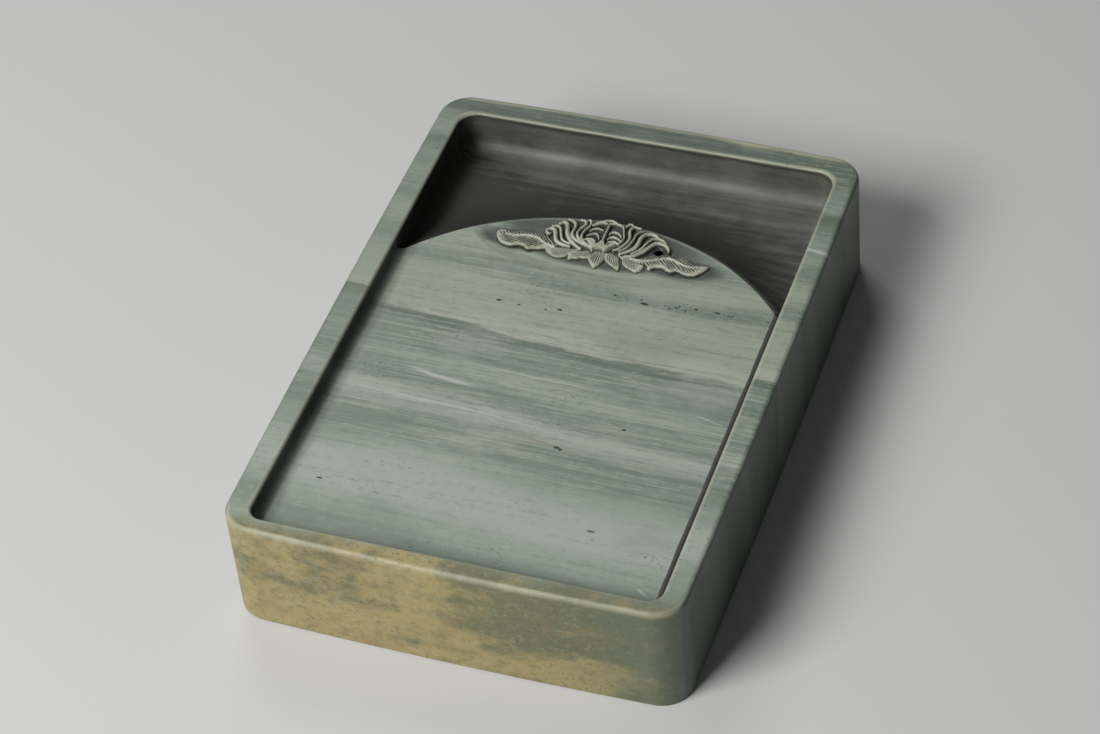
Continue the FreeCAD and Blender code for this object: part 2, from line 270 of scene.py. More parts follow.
class Paint:
    """A material being mixed: it holds the node tree and adds nodes to it."""

    def __init__(self, name):
        self.material = bpy.data.materials.new(name)
        self.material.use_nodes = True
        self.tree = self.material.node_tree
        self.tree.nodes.clear()

    def node(self, kind, settings=None, sockets=None, output=0):
        """Adds a node, sets it up, fills or links its sockets, and gives one output (if it has any)."""
        made = self.tree.nodes.new(kind)
        for name, value in (settings or {}).items():
            if name == "stops":
                self._set_stops(made.color_ramp, value)
            else:
                setattr(made, name, value)
        for name, value in (sockets or {}).items():
            if isinstance(value, Signal):
                self.tree.links.new(value.socket, made.inputs[name])
            else:
                made.inputs[name].default_value = value
        return Signal(self, made.outputs[output]) if made.outputs else None

    @staticmethod
    def _set_stops(ramp, stops):
        ramp.interpolation = "EASE"
        while len(ramp.elements) < len(stops):
            ramp.elements.new(1.0)
        for element, (place, colour) in zip(ramp.elements, stops):
            element.position = place
            element.color = (*colour, 1.0)

    def place(self):
        """The point on the object, in metres."""
        return self.node("ShaderNodeTexCoord", output=3)

    def split(self, vector):
        """The x, y and z of a vector."""
        parts = self.node("ShaderNodeSeparateXYZ", {}, {0: vector})
        return tuple(Signal(self, output) for output in parts.socket.node.outputs)

    def stretch(self, vector, scale, offset=(0, 0, 0)):
        """The vector times a scale, plus an offset."""
        sockets = {"Vector": vector, "Scale": scale, "Location": offset}
        return self.node("ShaderNodeMapping", {}, sockets)

    def shift(self, vector, offset):
        return self.node("ShaderNodeVectorMath", {"operation": "ADD"}, {0: vector, 1: offset})

    def grain(self, place, name):
        """One of the named noise patterns at a place, from 0 to 1."""
        pattern = GRAINS[name]
        sockets = {
            "Vector": self.stretch(place, pattern.scale, pattern.shift),
            "Scale": 1.0,
            "Detail": pattern.detail,
            "Roughness": pattern.roughness,
            "Distortion": pattern.distortion,
        }
        return self.node("ShaderNodeTexNoise", {}, sockets)

    def jitter(self, place, scale, reach):
        """A small random shift at each point, to crumble the edge of a pattern."""
        colour = self.node("ShaderNodeTexNoise", {}, {"Vector": place, "Scale": scale}, output=1)
        centred = self.shift(colour, (-0.5, -0.5, -0.5))
        return self.node("ShaderNodeVectorMath", {"operation": "SCALE"}, {0: centred, 3: reach})

    def mix(self, share, first, second):
        """A colour between two colours; share 0 gives the first."""
        sockets = {0: share, 6: self._colour(first), 7: self._colour(second)}
        return self.node("ShaderNodeMix", {"data_type": "RGBA"}, sockets, output=2)

    @staticmethod
    def _colour(value):
        return value if isinstance(value, Signal) else (*value, 1.0)

    def ramp(self, value, stops):
        return self.node("ShaderNodeValToRGB", {"stops": stops}, {0: value})

    def bump(self, height, strength, distance, under=None):
        sockets = {"Strength": strength, "Distance": distance, "Height": height}
        if under is not None:
            sockets["Normal"] = under
        return self.node("ShaderNodeBump", {}, sockets)

    def finish(self, colour, roughness, normal, specular, ior):
        sockets = {
            "Base Color": colour,
            "Roughness": roughness,
            "Normal": normal,
            "Specular IOR Level": specular,
            "IOR": ior,
        }
        shader = self.node("ShaderNodeBsdfPrincipled", {}, sockets)
        self.node("ShaderNodeOutputMaterial", {}, {0: shader})
        return self.material


# ---------------------------------------------------------------- stone


def bed_colour(paint, place, look):
    """The stone's own beds: bands that run across the block, one behind the other, and thin streaks."""
    x, y, _ = paint.split(place)
    ripple = paint.grain(place, "ripple")
    bend = (paint.grain(place, "slow_bend") - 0.5) * BED_BEND + (ripple - 0.5) * BED_RIPPLE
    share = (y + x * BED_SLANT + bend - BLOCK_LOW.y) / (BLOCK_HIGH.y - BLOCK_LOW.y)
    body = paint.ramp(share, [(at, tuple(getattr(look, name))) for at, name in BEDS])

    lively = 0.45 + y.fade(-58 * MM, -42 * MM) * 0.75 - y.fade(-2 * MM, 4 * MM) * 0.35
    tone = (paint.grain(place, "broad_streaks") - 0.5) * 0.5
    tone = tone + (paint.grain(place, "streaks") - 0.5) * 1.2
    tone = tone + (paint.grain(place, "fine_streaks") - 0.5) * 0.9
    tone = tone * lively + (paint.grain(place, "mottle") - 0.5) * 0.55
    body = paint.mix(tone.fade(0.0, STREAK_SOFTNESS) * 0.55, body, tuple(look.cream))
    body = paint.mix((tone * -1).fade(0.0, STREAK_SOFTNESS) * 0.5, body, tuple(look.deep_green_and_shade))

    drift = paint.grain(place, "drift")
    body = paint.mix(drift.fade(0.52, 0.70) * 0.4, body, tuple(look.pale))
    body = paint.mix(drift.fade(0.48, 0.32) * 0.35, body, tuple(look.dark))
    for start, end, half_width, strength, name in VEINS:
        line = line_mask(x, y, start, end, half_width, ripple)
        body = paint.mix(line * strength, body, tuple(getattr(look, name)))
    return body


def line_mask(x, y, start, end, half_width, wander):
    """A thin line between two points of the plan that wanders a little and tapers at both ends."""
    (ax, ay), (bx, by) = start, end
    run_x, run_y = (bx - ax) * MM, (by - ay) * MM
    length = math.hypot(run_x, run_y)
    from_x, from_y = x - ax * MM, y - ay * MM
    along = (from_x * run_x + from_y * run_y) / length**2
    aside = (from_x * run_y - from_y * run_x) / length + (wander - 0.5) * VEIN_WANDER
    ends = along.fade(0.0, 0.3) * along.fade(1.0, 0.6)
    return abs(aside).fade(half_width * MM, half_width * 0.2 * MM) * ends


def oval_mask(x, y, centre, half_length, half_width, edge, wander):
    """An oval of the plan, lying along x, whose soft edge is a share of its size."""
    across_x = (x - centre[0] * MM) / (half_length * MM)
    across_y = (y - centre[1] * MM) / (half_width * MM)
    reach = (across_x * across_x + across_y * across_y).power(0.5) + (wander - 0.5) * 0.6
    return reach.fade(1.0 + edge, 1.0)


def skin_colour(paint, place, look):
    """The weathered ochre skin on the front face, with clouds of the green showing through and painted shade
    towards its right end.
    """
    x, _, z = paint.split(place)
    clouds = paint.grain(place, "skin_clouds")
    # Greener to the right and towards the top, but not on the worn edge itself
    greener = x * 1.7 + (z - SKIN_MIDDLE).least(14 * MM) * (1.3 + x * 16.0)
    greener = greener * z.fade(BLOCK_HIGH.z - 0.1 * MM, BLOCK_HIGH.z - 2 * MM)
    green_share = clouds + (paint.grain(place, "skin_wash") - 0.5) * 0.55 + greener
    body = paint.mix(green_share.fade(0.40, 0.60), tuple(look.ochre), tuple(look.skin_green))
    body = paint.mix(paint.grain(place, "skin_rust").fade(0.50, 0.68) * 0.5, body, tuple(look.rust))
    mottle = paint.grain(place, "skin_mottle")
    body = paint.mix(mottle.fade(0.50, 0.70) * 0.4, body, tuple(look.cream))
    body = paint.mix(mottle.fade(0.48, 0.34) * 0.45, body, tuple(look.deep_green_and_shade))
    # Painted shade: the front face darker towards its right end, where the light falls off.
    painted_right_shade = (x + clouds * (40 * MM)).fade(30 * MM, 90 * MM)
    body = paint.mix(painted_right_shade * 0.55, body, tuple(look.deep_green_and_shade))
    return paint.mix(paint.grain(place, "skin_specks").fade(0.60, 0.69) * 0.55, body, tuple(look.pit))


def inside_basin(x, y):
    """Distance from the basin's rounded outline in plan: positive inside it, negative on the rim."""
    beyond_x = abs(x - (WALL_LEFT + WALL_RIGHT) / 2) - ((WALL_RIGHT - WALL_LEFT) / 2 - BASIN_CORNER)
    beyond_y = abs(y - (WALL_FRONT + WALL_BACK) / 2) - ((WALL_BACK - WALL_FRONT) / 2 - BASIN_CORNER)
    corner_x, corner_y = beyond_x.most(0.0), beyond_y.most(0.0)
    round_corner = (corner_x * corner_x + corner_y * corner_y).power(0.5)
    return BASIN_CORNER - round_corner - beyond_x.most(beyond_y).least(0.0)


def beyond_crest(x, y):
    """Distance behind the crest's arc: positive in the well, negative on the bank."""
    aside = y - CREST_CENTRE
    return (x * x + aside * aside).power(0.5) - CREST_SWEEP


def weathered(paint, place, colour, wobble, look):
    """The stone's colour with its front and back skins on it, and how much front skin there is."""
    x, y, _ = paint.split(place)
    front = (y + wobble * (9 * MM)).fade(BLOCK_LOW.y + 9.5 * MM, BLOCK_LOW.y + 2.0 * MM)
    back = (y + wobble * (8 * MM)).fade(BLOCK_HIGH.y - 5 * MM, BLOCK_HIGH.y) * x.fade(5 * MM, 35 * MM)
    colour = paint.mix(front, colour, skin_colour(paint, place, look))
    return paint.mix(back * 0.7, colour, tuple(look.worn_and_highlight)), front


def rim_wear_highlight_and_shade(paint, place, colour, wobble, look):
    """The colour with the rim's edges rubbed pale and given a painted highlight, painted shade on the long
    sides, and two of the rims darker.
    """
    x, y, z = paint.split(place)
    below_rim = BLOCK_HIGH.z - z
    # Wear and painted highlight: the rim's outer top edge lightened, except along the long sides.
    outer_edge_wear_and_highlight = below_rim.fade(2.2 * MM, 0.6 * MM) * below_rim.fade(0.0, 0.15 * MM) * (0.7 + wobble * 1.6)
    outer_edge_wear_and_highlight = outer_edge_wear_and_highlight * abs(x).fade(BLOCK_HIGH.x - 1.2 * MM, BLOCK_HIGH.x - 2.2 * MM)
    colour = paint.mix(outer_edge_wear_and_highlight * 0.5, colour, tuple(look.worn_and_highlight))

    bowed = y + x * x * (END_BOW / BLOCK_HIGH.x**2)
    back = (bowed + wobble * (2 * MM)).fade(BLOCK_HIGH.y - 3.2 * MM, BLOCK_HIGH.y - 1.6 * MM)
    back = back * below_rim.fade(2.4 * MM, 1.0 * MM)
    colour = paint.mix(back * 0.55, colour, tuple(look.worn_and_highlight))

    # Wear and painted highlight along the rim's inner edge, brighter at the back.
    inner_edge_wear_and_highlight = (inside_basin(x, y) + wobble * (1.0 * MM)).fade(-1.4 * MM, -0.8 * MM)
    inner_edge_wear_and_highlight = inner_edge_wear_and_highlight * below_rim.fade(0.8 * MM, 0.3 * MM)
    inner_edge_wear_and_highlight = inner_edge_wear_and_highlight * (0.22 + y.fade(84 * MM, 90 * MM) * 0.2 + wobble * 0.4)
    colour = paint.mix(inner_edge_wear_and_highlight, colour, tuple(look.worn_and_highlight))

    # Painted shade: the long outer sides darkened below the rim.
    side = abs(x).fade(BLOCK_HIGH.x - 2.6 * MM, BLOCK_HIGH.x - 1.2 * MM) * below_rim.fade(0.1 * MM, 0.8 * MM)
    colour = paint.mix(side * 0.75, colour, tuple(look.shade))
    rim_top = below_rim.fade(4 * MM, 1 * MM)
    left_rim = x.fade(-60 * MM, -64 * MM) * y.fade(-75 * MM, -50 * MM) * rim_top
    colour = paint.mix(left_rim * (0.35 + wobble), colour, tuple(look.dark))
    back_rim = y.fade(90 * MM, 92 * MM) * x.fade(60 * MM, 0.0) * rim_top
    return paint.mix(back_rim * (0.62 + wobble) * (1 - back), colour, tuple(look.shade))


def well_ink(paint, place, behind, smudge):
    """How thickly dried ink lies in the well: thinner towards the back and thicker towards the left."""
    x, y, _ = paint.split(place)
    brushed = paint.grain(place, "brush_marks") - 0.5
    patches = paint.grain(place, "scrubbed_patches")
    thin = y.fade(69 * MM, 86 * MM) * 0.38 - x.fade(-32 * MM, -56 * MM) * 0.25
    thin = thin * (0.1 + patches * 2.0) + brushed * 0.8 + (patches - 0.5) * 0.8 + smudge * 0.6
    return behind * (0.95 - thin).least(0.98).most(0.4)


def wall_ink(paint, place, inside, smudge):
    """How thickly ink lies on the basin's walls: heavy, but on the back wall only under the rim."""
    x, y, z = paint.split(place)
    patches = paint.grain(place, "scrubbed_patches") - 0.5
    below_rim = BLOCK_HIGH.z - z + smudge * (3 * MM) + patches * (3 * MM)
    wall = (inside_basin(x, y) + smudge * (0.9 * MM)).fade(1.0 * MM, 0.1 * MM) * inside
    lip = below_rim.fade(4.0 * MM, 1.4 * MM) * y.fade(WALL_BACK - 7 * MM, WALL_BACK - 2 * MM) * inside
    back_wall = y.fade(WALL_BACK - 4 * MM, WALL_BACK - 1 * MM) * below_rim.fade(1.5 * MM, 4 * MM)
    return (wall * (0.85 - back_wall * 0.8)).most(lip * 0.8)


def lotus_stain_and_shade(x, y, wander):
    """The ink that has soaked into the bank round the lotus, and painted shade round the carving's foot."""
    stain_and_shade = 0.0
    for centre, half_length, half_width, edge, strength in STAINS_AND_SHADE:
        spot = oval_mask(x, y, centre, half_length, half_width, edge, wander) * strength
        stain_and_shade = spot.most(stain_and_shade)
    return stain_and_shade


def inked_basin(paint, place, colour, wobble, look):
    """The colour with old ink in the basin, painted shadow beside the left and front walls, the crest rubbed
    pale with a painted highlight, and how much ink lies in the well.
    """
    x, y, z = paint.split(place)
    wander = paint.grain(place, "smudge")
    smudge = wander - 0.5
    below_rim = BLOCK_HIGH.z - z
    inside = (inside_basin(x, y) + 1.2 * MM).fade(0.0, 0.5 * MM)
    inside = inside * (below_rim + smudge * (0.8 * MM)).fade(0.5 * MM, 1.3 * MM)
    from_crest = beyond_crest(x, y)
    softness = (x + 10 * MM).fade(0.0, 60 * MM) * (2.2 * MM)
    behind = ((from_crest + smudge * (1.2 * MM)) / (softness + 0.8 * MM)).fade(-0.3, 1.0)
    behind = behind * y.fade(0.0, 10 * MM)

    floor = inside * z.fade(BANK_LEVEL + 2 * MM, BANK_LEVEL + 0.5 * MM)
    # Ink residue and painted shadow of the left rim on the floor beside it.
    left_residue_and_shadow = (x - WALL_LEFT + wobble * (3 * MM)).fade(6.0 * MM, 4.0 * MM) * floor
    # Painted shadow of the front wall on the floor beside it.
    front_wall_shadow = (y - WALL_FRONT + wobble * (4 * MM)).fade(11 * MM, 2 * MM) * floor
    near_right = (WALL_RIGHT - x + wobble * (1.0 * MM)).fade(3.3 * MM, 2.9 * MM) * inside
    near_right = near_right * (WALL_RIGHT - x).fade(0.2 * MM, 1.4 * MM)
    colour = paint.mix(left_residue_and_shadow * 0.3, colour, tuple(look.residue_and_shadow))
    colour = paint.mix(front_wall_shadow * 0.65, colour, tuple(look.deep_green_and_shade))
    colour = paint.mix(near_right, colour, tuple(look.ink))
    # Ink stain and painted shade round the lotus.
    colour = paint.mix(lotus_stain_and_shade(x, y, wander) * (1 - behind), colour, tuple(look.ink))

    colour = paint.mix(inside * behind * 0.8, colour, tuple(look.wash))
    well = inside * well_ink(paint, place, behind, smudge)
    colour = paint.mix(well.most(wall_ink(paint, place, inside, smudge)), colour, tuple(look.ink))
    # Wear and painted highlight: a pale line along the crest towards the back.
    crest_wear_and_highlight = abs(from_crest + 0.25 * MM).fade(0.45 * MM, 0.1 * MM) * y.fade(36 * MM, 46 * MM)
    return paint.mix(crest_wear_and_highlight * (0.22 + wobble), colour, tuple(look.worn_and_highlight)), well


def speck_mask(paint, place, cells, size, rarity):
    """Small pits, one at most in each cell, and only in a share of the cells."""
    sockets = {"Vector": place, "Scale": cells, "Randomness": 1.0}
    distance = paint.node("ShaderNodeTexVoronoi", {}, sockets)
    lot = paint.split(paint.node("ShaderNodeTexVoronoi", {}, sockets, output=1))[0]
    radius = lot.fade(rarity, 1.0) * size
    return (radius - distance).fade(0.0, 0.08)


def pit_mask(paint, place):
    """The dark pits: crowds of specks along the beds, a row in front of the lotus, and the larger ones."""
    x, y, _ = paint.split(place)
    crowd = paint.grain(place, "pit_crowds").fade(0.50, 0.66)
    row = abs(y - PIT_ROW).fade(2.8 * MM, 0.8 * MM) * x.fade(6 * MM, 14 * MM)
    crumbled = paint.shift(paint.stretch(place, PIT_FLATNESS), paint.jitter(place, 700.0, 1.2 * MM))
    pits = speck_mask(paint, crumbled, 900.0, 0.40, 0.35) * (crowd * 0.45).most(row)
    pits = pits.most(speck_mask(paint, crumbled, 420.0, 0.30, 0.70) * (crowd * 0.4).most(row))
    ragged = paint.grain(place, "ragged_edge") * 3.0 - 1.0
    for centre, half_length, half_width in PITS:
        pits = pits.most(oval_mask(x, y, centre, half_length, half_width, 0.5, ragged))
    return pits


def make_block_material(look):
    """Banded stone with its skin, its rubbed rim, the ink of long use and its pits."""
    paint = Paint("banded_green_stone")
    place = paint.place()
    wobble = paint.grain(place, "wobble") - 0.5
    colour = bed_colour(paint, place, look)
    colour, skin = weathered(paint, place, colour, wobble, look)
    colour = rim_wear_highlight_and_shade(paint, place, colour, wobble, look)
    colour, well = inked_basin(paint, place, colour, wobble, look)
    pits = pit_mask(paint, place) * (1 - well)
    colour = paint.mix(pits * 0.95, colour, tuple(look.pit))

    grain = paint.grain(place, "grain")
    normal = paint.bump(paint.grain(place, "hand_worked"), 0.25, 1.0 * MM)
    normal = paint.bump(paint.grain(place, "scratches"), 0.12, 0.05 * MM, normal)
    normal = paint.bump(grain, 0.15, 0.06 * MM, normal)
    normal = paint.bump(pits * -1, 0.4, 0.1 * MM, normal)
    roughness = 0.37 + grain * 0.14 + skin * 0.08 + well * 0.20 + pits * 0.3
    return paint.finish(colour, roughness, normal, specular=0.5, ior=STONE_IOR)


def make_lotus_material(look):
    """Pale worn ridges, with ink left in the cuts. The mesh says how inked each point is."""
    paint = Paint("carved_pale_stone")
    place = paint.place()
    inked = paint.node("ShaderNodeAttribute", {"attribute_name": "inked"}, {}, output=2)
    grain = paint.grain(place, "grain")
    patch = paint.grain(place, "carved_patches")
    ridge = paint.mix(patch.fade(0.35, 0.7), tuple(look.ridge), tuple(look.olive))
    share = (inked + (patch - 0.5) * 0.55 + (grain - 0.5) * 0.45).fade(0.12, 0.85)
    colour = paint.mix(share * 0.95, ridge, tuple(look.ink))
    normal = paint.bump(grain, 0.35, 0.08 * MM)
    return paint.finish(colour, 0.44 + grain * 0.12, normal, specular=0.5, ior=STONE_IOR)


# ---------------------------------------------------------------- lotus

# The carving's drawing, in its own units: it is 64 units wide, and the flower's heart is the origin.
DRAWING_WIDTH = 64.0
DRAWING_REACH = (66.0, 22.0)
DRAWING_MIDDLE = 2.6
SKIRT = -0.3  # the carving's foot goes a little below the field's floor
SKIRT_THICKNESS = 0.1
UNCARVED = -9.0  # far below the foot, so that any form lies above it
OUTER_FALL = 3.0  # how steeply a form falls away outside its outline

# Curled strands of the flower: centre line from root to tip, half width
LEFT_STRANDS = (
    (((-9.5, -0.8), (-12, -0.5), (-13.8, 0.4), (-14.6, 2), (-15.1, 3.6), (-15.9, 4.8), (-17.1, 4.9),
      (-17.9, 4.2)), 0.66),
    (((-17.8, 4.0), (-17.7, 3.1), (-17.0, 2.7), (-16.4, 3.1)), 0.42),
    (((-9.8, 0.3), (-12, 1.0), (-13, 2.5), (-13.6, 4), (-14.3, 5.6), (-15.4, 6.4), (-16.9, 5.9)), 0.44),
    (((-6.2, -0.9), (-8, 0.1), (-9.8, 1.5), (-11.2, 3.2), (-12, 5), (-12.5, 6.8), (-13.1, 8),
      (-14.1, 8.5), (-15.1, 7.6)), 0.70),
    (((-6, 1), (-8.2, 2), (-9.6, 3), (-10.3, 4.6), (-10.2, 6.6), (-10.6, 8.4), (-11.7, 9.5),
      (-13.2, 9.8)), 0.52),
    (((-4.9, 0.6), (-7.2, 2.3), (-8.4, 3.6), (-8.9, 5), (-8.6, 6.6), (-8, 8), (-7.7, 9.3), (-8.4, 10.3),
      (-9.6, 10.4)), 0.50),
    (((-5.6, 1.6), (-6.9, 2.9), (-7.4, 4.6), (-7.1, 6.3), (-6.5, 7.8), (-6.3, 9.3), (-6.6, 10.6),
      (-7.3, 11)), 0.46),
    (((-3.8, 0.2), (-5.2, 1.2), (-6.3, 2.2)), 0.40),
)
RIGHT_STRANDS = (
    (((3.2, 0.8), (4.4, 1.6), (5.3, 2.9), (6, 4.3), (6.4, 5.8), (6.2, 7.2), (5.7, 8.7), (5.6, 10.1),
      (6.3, 11.2), (7.4, 11.2), (8.3, 11.1)), 0.52),
    (((3.9, 10.6), (4.4, 11.7), (5.4, 11.9), (6.1, 11.4)), 0.40),
    (((5, 1), (6.3, 2.2), (7.2, 3.8), (7.6, 5.8), (7.8, 8), (8.5, 9.6), (9.4, 10.3)), 0.38),
    (((5.4, -0.3), (6.8, 0.7), (8, 1.8), (8.9, 3), (9.4, 5), (9.5, 7), (10, 8.6), (11, 9.4), (12.6, 9.6),
      (14, 9)), 0.70),
    (((8.6, 0.6), (9.9, 1.8), (11, 3.4), (11.6, 5), (12.2, 6.4), (13.1, 7.7), (14.6, 8.2), (16, 7.8),
      (17.2, 6.8)), 0.44),
    (((7.1, -0.9), (9, -0.3), (10.3, 0.5), (11.7, 2), (12.8, 3.9), (13.7, 5.5), (14.8, 6.4), (16.3, 6.4),
      (17.7, 5.8), (18.5, 4.8), (18.8, 4)), 0.68),
)
# Seed pod in the middle: an arched outline, a stem, and ribs on each side
POD_STRANDS = (
    (((-5.6, 9.1), (-4.5, 10), (-3, 10.6), (-1.6, 10.7)), 0.46),
    (((-4.3, 10.7), (-2.5, 11.6), (-1, 12), (0.4, 11.7), (1.4, 11.2)), 0.42),
    (((-0.6, 10.8), (0.7, 11.2), (2, 11), (3.2, 10.3), (3.8, 9), (4.3, 7.5), (4.8, 6), (4.6, 4.5),
      (4.1, 3.3)), 0.44),
    (((-0.9, 11), (-0.95, 8), (-0.9, 5), (-0.85, 3), (-0.8, 1)), 0.56),
    (((-5.7, 6.5), (-4.9, 7.4), (-3.6, 7.9), (-2, 7.6)), 0.40),
    (((-6, 4.4), (-5, 5.2), (-3.8, 5.7), (-2.8, 5.2), (-2.1, 3.9)), 0.38),
    (((0.1, 6.7), (0.8, 7.4), (2, 7.6), (3.2, 7), (4, 5.9)), 0.40),
    (((0.3, 4.3), (0.9, 5.3), (2, 5.6), (3.3, 5.2), (4.2, 4.5)), 0.38),
    (((-6.3, 2.7), (-5, 3.2), (-3.8, 3.3), (-2.9, 2.5), (-2.6, 1.6)), 0.42),
    (((0.7, 2), (1, 3.1), (2.2, 3.7), (3.4, 3.5), (4.2, 3)), 0.42),
)
CROWN = (
    (-5.7, 3.0), (-4.6, 1.4), (-3.5, -0.2), (-2.8, -1.3), (-2.1, -0.2), (-1, 0.3), (0.2, 0.1), (0.7, -0.6),
    (1.6, 0.2), (2.4, 1.5), (3.4, 3.2), (1.7, 3.1), (0.7, 2.0), (-0.3, 3.6), (-1.5, 3.6), (-2.4, 2.0),
    (-3.6, 3.1),
)
FLOWER = (
    (-9, -1.4), (-12.5, -1.2), (-14.6, -0.2), (-15.4, 1.8), (-16.2, 2.2), (-17.9, 2.2), (-18.6, 3.6),
    (-18.3, 5), (-17.4, 6.2), (-16.1, 7), (-15.6, 8.3), (-14.4, 9.3), (-13.4, 10.3), (-11.2, 10.3),
    (-9.9, 10.9), (-8, 10.9), (-7.2, 11.5), (-6, 11), (-4.6, 11.1), (-2.6, 12.1), (-1, 12.5), (0.7, 12.2),
    (2.5, 11.6), (3.8, 11.7), (4.6, 12.4), (5.8, 12.3), (6.8, 11.8), (8.7, 11.6), (9, 10.9), (10.2, 10.5),
    (12.8, 10.3), (14.6, 9.3), (16.3, 8.4), (17.6, 7.2), (18.9, 5.6), (19.4, 4.2), (18.6, 3.2), (17.6, 1.6),
    (15, 1.2), (13, -0.2), (11, -1.5), (0, -2),
)
CURL_HOLE = (16.0, 3.6)
CURL_HOLE_RADIUS = 1.9

LEFT_LEAF = (
    (-32, 0.9), (-31.2, 1.8), (-29.5, 1.8), (-28, 1.5), (-26, 2.1), (-25, 2.5), (-22, 2.4), (-20, 2.6),
    (-18, 2.4), (-16.5, 1.9), (-15, 0.9), (-14, -0.1), (-13, -1.4), (-13.2, -2.2), (-14.5, -2.4),
    (-16, -2.8), (-16.5, -3.4), (-17.8, -3.7), (-18.5, -4.1), (-20, -4.3), (-20.9, -4.9), (-21.6, -4.5),
    (-22.8, -3.8), (-24, -3.6), (-25.2, -4.4), (-27, -4.6), (-28.8, -4.1), (-30.3, -3), (-31.4, -1.4),
    (-32.1, 0.2),
)
LEFT_MIDRIB = (
    (-13.6, -2), (-16, -1.5), (-17.5, -0.7), (-19, 0.2), (-20.5, 0.6), (-22.5, 0.7), (-24.5, 0.3),
    (-26.5, -0.1), (-28.9, 0),
)
LEFT_MARGIN = (
    (-29.6, 1.2), (-30.7, 1), (-31.3, 0.2), (-31.0, -1.0), (-30.2, -2.2), (-29.2, -3.1), (-28, -3.7),
    (-26, -3.8), (-24, -3), (-22.2, -3.3), (-21, -4.1), (-19.6, -3.6), (-17.6, -3.1), (-15.5, -2.3),
)
RIGHT_LEAF = (
    (8.5, -0.8), (11, -0.4), (13, 1), (15, 2.4), (17, 2.8), (19, 3.3), (20.5, 3.1), (22, 2.6), (23.2, 3.1),
    (24.5, 3.2), (26, 2.4), (27, 1.5), (28.5, 1.1), (31.7, 1.3), (31.4, 0.3), (30.5, -0.9), (29.5, -2.4),
    (28, -3.5), (26, -3.8), (24.8, -3.6), (23.5, -3), (22, -3.8), (20.8, -3.8), (19.9, -3.1),
    (19.3, -2.5), (18.5, -2.7), (17.3, -2.6), (16.4, -3.3), (15.5, -4), (14.7, -3.8), (14.4, -2.7),
    (13.2, -2.2), (11, -2), (9, -1.8),
)
RIGHT_MIDRIB = (
    (8.8, -1.2), (11, -1.5), (13, -1.3), (15, -0.6), (16.5, 0.1), (18, 0.9), (19.6, 1.4), (21, 1.2),
    (22.5, 0.6), (24, 0), (26, -0.4), (28, -0.1), (30.8, 0.8),
)
RIGHT_MARGIN = (
    (31, 0.4), (30.2, -0.8), (29.2, -2), (28, -2.9), (26.4, -3.1), (25, -2.9), (23.3, -2.3), (21.4, -3.1),
    (20, -2.4), (18.6, -1.8), (16.6, -2.4), (15.4, -3.3),
)
# Short leaves below the flower
LOW_LEAVES = (
    ((-6, -1.0), (-9, -1.3), (-12, -1.5), (-14, -1.9), (-15.9, -2.8), (-15.7, -3.8), (-14.8, -4.5),
     (-13.4, -5.3), (-12, -5.6), (-10.6, -5.2), (-9.3, -4.5), (-8.8, -3.6), (-7, -2.4)),
    ((-3.5, -0.8), (-6.5, -1.8), (-8.6, -3.1), (-8.9, -4.5), (-8.4, -5.6), (-7.6, -5.3), (-6.8, -4.8),
     (-6, -4.9), (-5.2, -4.2), (-4.2, -4.2), (-3.2, -3.8), (-2.2, -2.4)),
    ((1.2, -0.6), (1.9, -3.1), (2.7, -4.1), (3.7, -4.8), (5.1, -5.6), (6.1, -6.3), (6.9, -6.5),
     (7.2, -5.4), (6.8, -4.2), (6.3, -2.8), (5.5, -1.4), (3.5, -0.5)),
    ((4.5, -0.6), (6.5, -1.8), (7.1, -3.4), (8, -4.3), (9.2, -5), (10.5, -5.5), (11.7, -5.9), (12.8, -5.3),
     (13.5, -4.4), (13.8, -3.4), (13.3, -2.6), (11, -2), (8, -0.9)),
    ((-1.8, -0.4), (-2.6, -2.3), (-3, -3.8), (-2.2, -5), (-1.3, -6.2), (-0.6, -7), (-0.1, -7.1),
     (0.4, -6.6), (1, -5.6), (1.4, -4.4), (1.8, -3.1), (1.5, -1.1), (0.7, -0.3)),
)


def smooth_line(points, steps=6):
    """A rounded line through the points (Catmull-Rom)."""
    p = np.array([points[0], *points, points[-1]], float)
    t = np.linspace(0, 1, steps, endpoint=False)[:, None]
    spans = []
    for a, b, c, d in zip(p, p[1:], p[2:], p[3:]):
        square, cube = 2 * a - 5 * b + 4 * c - d, 3 * b - a - 3 * c + d
        spans.append(0.5 * (2 * b + (c - a) * t + square * t**2 + cube * t**3))
    return np.vstack([*spans, p[-1:]])


def to_line(x, y, line):
    """Distance from each point to a line, and how far along the line (0 to 1) the nearest place is."""
    best = np.full(x.shape, np.inf)
    along = np.zeros(x.shape)
    lengths = np.hypot(*(line[1:] - line[:-1]).T)
    done = 0.0
    for (ax, ay), (bx, by), length in zip(line[:-1], line[1:], lengths):
        t = ((x - ax) * (bx - ax) + (y - ay) * (by - ay)) / length**2
        t = np.clip(t, 0, 1)
        gap = np.hypot(x - ax - t * (bx - ax), y - ay - t * (by - ay))
        nearer = gap < best
        best = np.where(nearer, gap, best)
        along = np.where(nearer, (done + t * length) / lengths.sum(), along)
        done += length
    return best, along


def ease(value, start, end):
    t = np.clip((value - start) / (end - start), 0, 1)
    return t * t * (3 - 2 * t)


